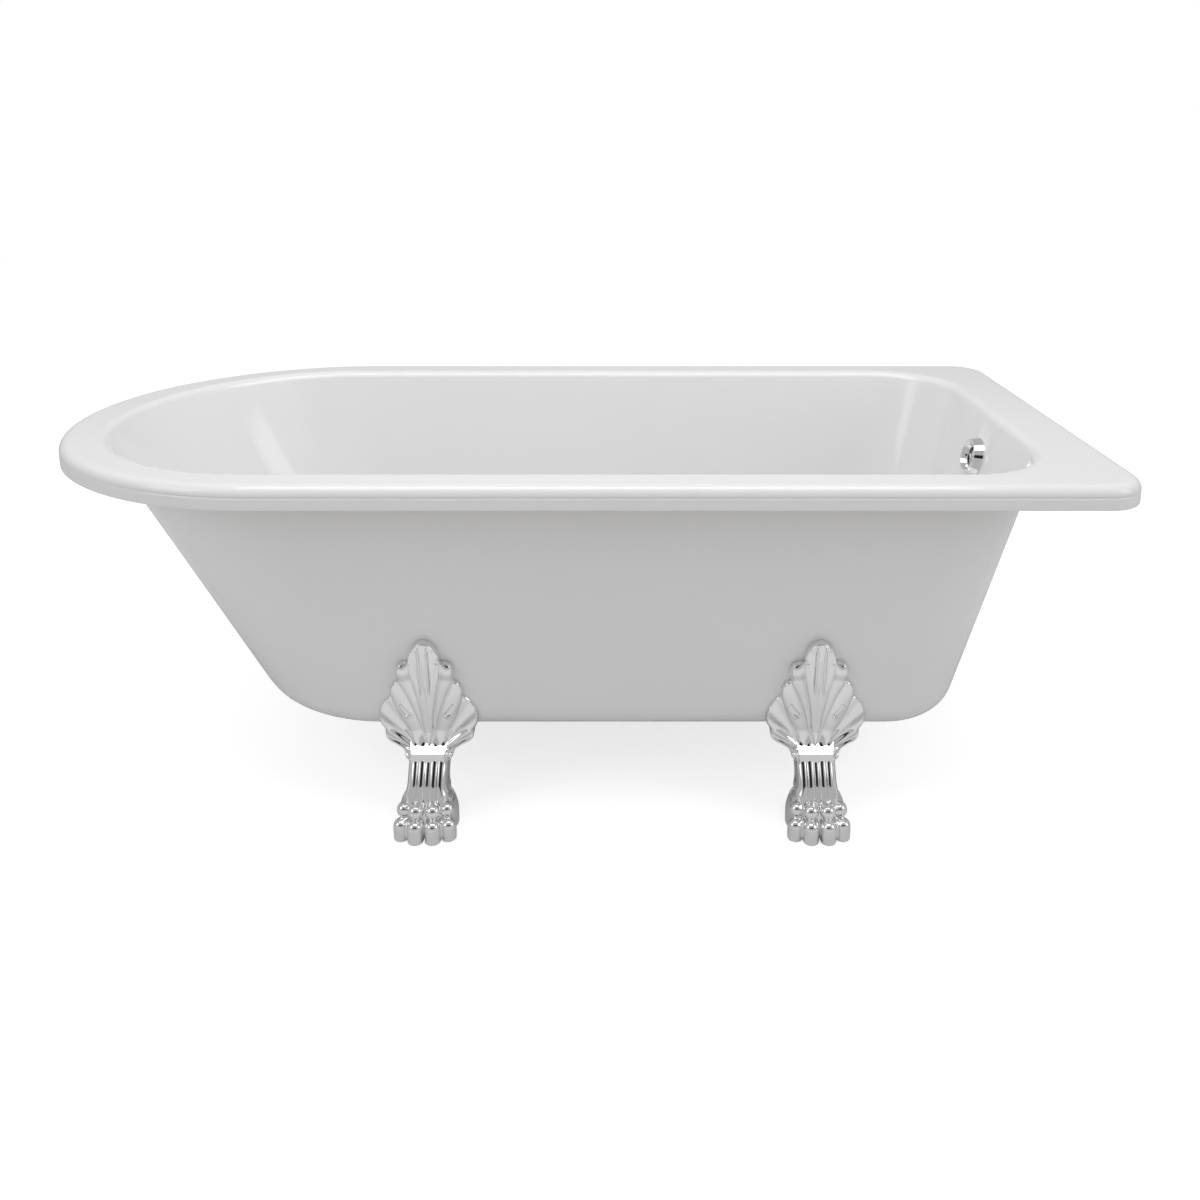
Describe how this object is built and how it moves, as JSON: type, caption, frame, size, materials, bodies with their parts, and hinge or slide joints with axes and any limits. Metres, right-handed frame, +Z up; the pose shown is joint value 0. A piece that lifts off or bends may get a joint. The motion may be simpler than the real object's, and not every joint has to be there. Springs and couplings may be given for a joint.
{
  "type": "clawfoot bathtub",
  "caption": "White freestanding bath with one rounded end, a rolled flat rim and a square tap end, on chrome paw feet, with waste plug and overflow.",
  "frame": {"origin": "on the floor under the middle of the rim", "axes": "+X towards the tap end, +Y away from the viewer's side, +Z up"},
  "size_m": [1.7, 0.75, 0.6],
  "materials": {
    "white_sheet": "high gloss white acrylic",
    "white_skin": "gloss white stiffening skin",
    "chrome": "polished chrome plate",
    "board": "bare board",
    "pad": "matt",
    "seal": "matt",
    "steel": "zinc plated",
    "trap": "moulded white plastic",
    "brass": "turned"
  },
  "bodies": {
    "bath": {"inner_shell": "white_sheet", "outer_shell": "white_skin", "baseboard": "board", "rim_batten_near": "board", "rim_batten_far": "board", "rim_batten_tap": "board", "rim_batten_head": "board", "foot_head_near": "chrome", "foot_head_far": "chrome", "foot_tap_near": "chrome", "foot_tap_far": "chrome", "foot_pads": "pad", "foot_bolts": "steel", "foot_washers": "steel", "waste_flange": "chrome", "waste_seal": "seal", "waste_gasket": "seal", "waste_body": "trap", "waste_guide": "chrome", "overflow_bezel": "chrome", "overflow_grid": "chrome", "overflow_screw": "steel", "overflow_gasket": "seal", "overflow_elbow": "trap", "overflow_pipe": "trap", "overflow_nuts": "trap"},
    "plug": {"plug_cap": "chrome", "plug_seal": "seal", "plug_stem": "brass"}
  },
  "joints": [
    {"name": "plug_slide", "type": "slide", "parent": "bath", "child": "plug", "axis": [0, 0, 1], "range_m": [-0.008, 0]}
  ]
}
